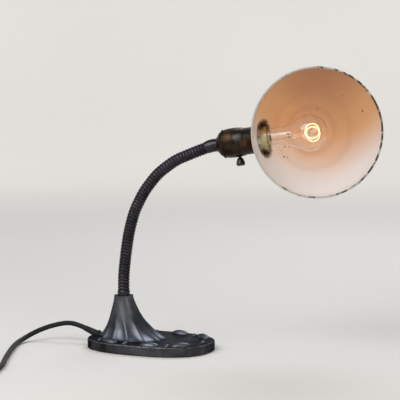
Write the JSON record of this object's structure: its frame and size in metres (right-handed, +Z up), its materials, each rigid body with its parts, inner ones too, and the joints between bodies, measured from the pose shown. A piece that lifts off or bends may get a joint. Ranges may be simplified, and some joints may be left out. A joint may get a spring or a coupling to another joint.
{
  "type": "desk lamp",
  "caption": "Vintage desk lamp: fluted cast base on felt, ribbed flexible neck, brass lampholder with a turn switch, round dished shade open to the side, clear bulb, coiled cord and plug.",
  "frame": {"origin": "on the table, on the underside of the felt pad, straight under the column that carries the neck", "axes": "+Z up; the neck bends over in the XZ plane towards +X; the shade opens towards -Y"},
  "size_m": [0.534, 0.3329, 0.3453],
  "materials": {
    "cast_iron": "dark bronze patina, worn to a sheen on the ridges",
    "felt": "dark green felt",
    "steel": "plain zinc-dulled steel",
    "gunmetal": "gunmetal, glossy on the ribs",
    "old_brass": "oxidised brown brass, rubbed bright in patches",
    "brass": "plain brass",
    "fibre": "brown fibre sleeve",
    "porcelain": "glazed white porcelain",
    "rust": "rusted steel",
    "knob": "moulded black",
    "enamel": "white enamel inside, dark paint outside, chipped at the edge",
    "bulb_glass": "clear glass",
    "black_glass": "black glass insulator",
    "tungsten": "tungsten wire, lit",
    "rubber": "matt black rubber",
    "tie": "black tie"
  },
  "bodies": {
    "base": {"base_casting": "cast_iron", "felt_pad": "felt", "cord_grommet": "rubber", "neck_nipple": "steel", "lock_nut": "steel", "lock_washer": "steel", "neck_collar": "gunmetal", "neck_link_1": "gunmetal", "inner_flex": "rubber", "cord_lead": "rubber", "cord_coil": "rubber", "coil_tie": "tie", "plug_relief": "rubber", "plug_body": "rubber", "plug_blades": "brass"},
    "neck_2": {"neck_link_2": "gunmetal"},
    "neck_3": {"neck_link_3": "gunmetal"},
    "neck_4": {"neck_link_4": "gunmetal"},
    "neck_5": {"neck_link_5": "gunmetal"},
    "neck_6": {"neck_link_6": "gunmetal"},
    "neck_7": {"neck_link_7": "gunmetal"},
    "neck_8": {"neck_link_8": "gunmetal"},
    "head": {"upper_ferrule": "old_brass", "set_screw": "steel", "socket_cap": "old_brass", "socket_shell": "old_brass", "insulating_liner": "fibre", "socket_body": "porcelain", "screw_shell": "brass", "centre_contact": "brass", "terminal_screws": "brass", "shade_ring_nut": "rust"},
    "shade": {"shade": "enamel"},
    "switch": {"switch_spindle": "brass", "switch_knob": "knob"},
    "bulb": {"bulb_glass": "bulb_glass", "bulb_cap": "brass", "bulb_insulator": "black_glass", "bulb_contact": "brass", "bulb_stem": "bulb_glass", "filament_supports": "steel", "filament": "tungsten"}
  },
  "joints": [
    {"name": "neck_bend_1", "type": "hinge", "parent": "base", "child": "neck_2", "pos_m": [0.00101, 0, 0.09748], "axis": [0, 1, 0], "range_deg": [-20, 9], "deforming": ["inner_flex"]},
    {"name": "neck_sway_1", "type": "hinge", "parent": "neck_2", "child": "neck_3", "pos_m": [0.00428, 0, 0.12479], "axis": [0.989, 0, -0.1478], "range_deg": [-12, 12], "deforming": ["inner_flex"]},
    {"name": "neck_bend_2", "type": "hinge", "parent": "neck_3", "child": "neck_4", "pos_m": [0.00941, 0, 0.1518], "axis": [0, 1, 0], "range_deg": [-20, 9], "deforming": ["inner_flex"]},
    {"name": "neck_sway_2", "type": "hinge", "parent": "neck_4", "child": "neck_5", "pos_m": [0.01834, 0, 0.17775], "axis": [0.8949, 0, -0.4462], "range_deg": [-12, 12], "deforming": ["inner_flex"]},
    {"name": "neck_bend_3", "type": "hinge", "parent": "neck_5", "child": "neck_6", "pos_m": [0.0323, 0, 0.20139], "axis": [0, 1, 0], "range_deg": [-20, 9], "deforming": ["inner_flex"]},
    {"name": "neck_sway_3", "type": "hinge", "parent": "neck_6", "child": "neck_7", "pos_m": [0.05105, 0, 0.22137], "axis": [0.606, 0, -0.7955], "range_deg": [-12, 12], "deforming": ["inner_flex"]},
    {"name": "neck_bend_4", "type": "hinge", "parent": "neck_7", "child": "neck_8", "pos_m": [0.07429, 0, 0.2359], "axis": [0, 1, 0], "range_deg": [-20, 9], "deforming": ["inner_flex"]},
    {"name": "neck_sway_4", "type": "hinge", "parent": "neck_8", "child": "head", "pos_m": [0.0998, 0, 0.24619], "axis": [0.3584, 0, -0.9336], "range_deg": [-12, 12], "deforming": ["inner_flex"]},
    {"name": "shade_turn", "type": "hinge", "parent": "head", "child": "shade", "pos_m": [0.16627, 0, 0.25775], "axis": [0.9912, 0, 0.1323], "continuous": true},
    {"name": "switch_turn", "type": "hinge", "parent": "head", "child": "switch", "pos_m": [0.14542, 0, 0.23479], "axis": [0.1323, 0, -0.9912], "continuous": true},
    {"name": "bulb_slide", "type": "slide", "parent": "head", "child": "bulb", "axis": [0.9912, 0, 0.1323], "range_m": [0, 0.026]}
  ]
}
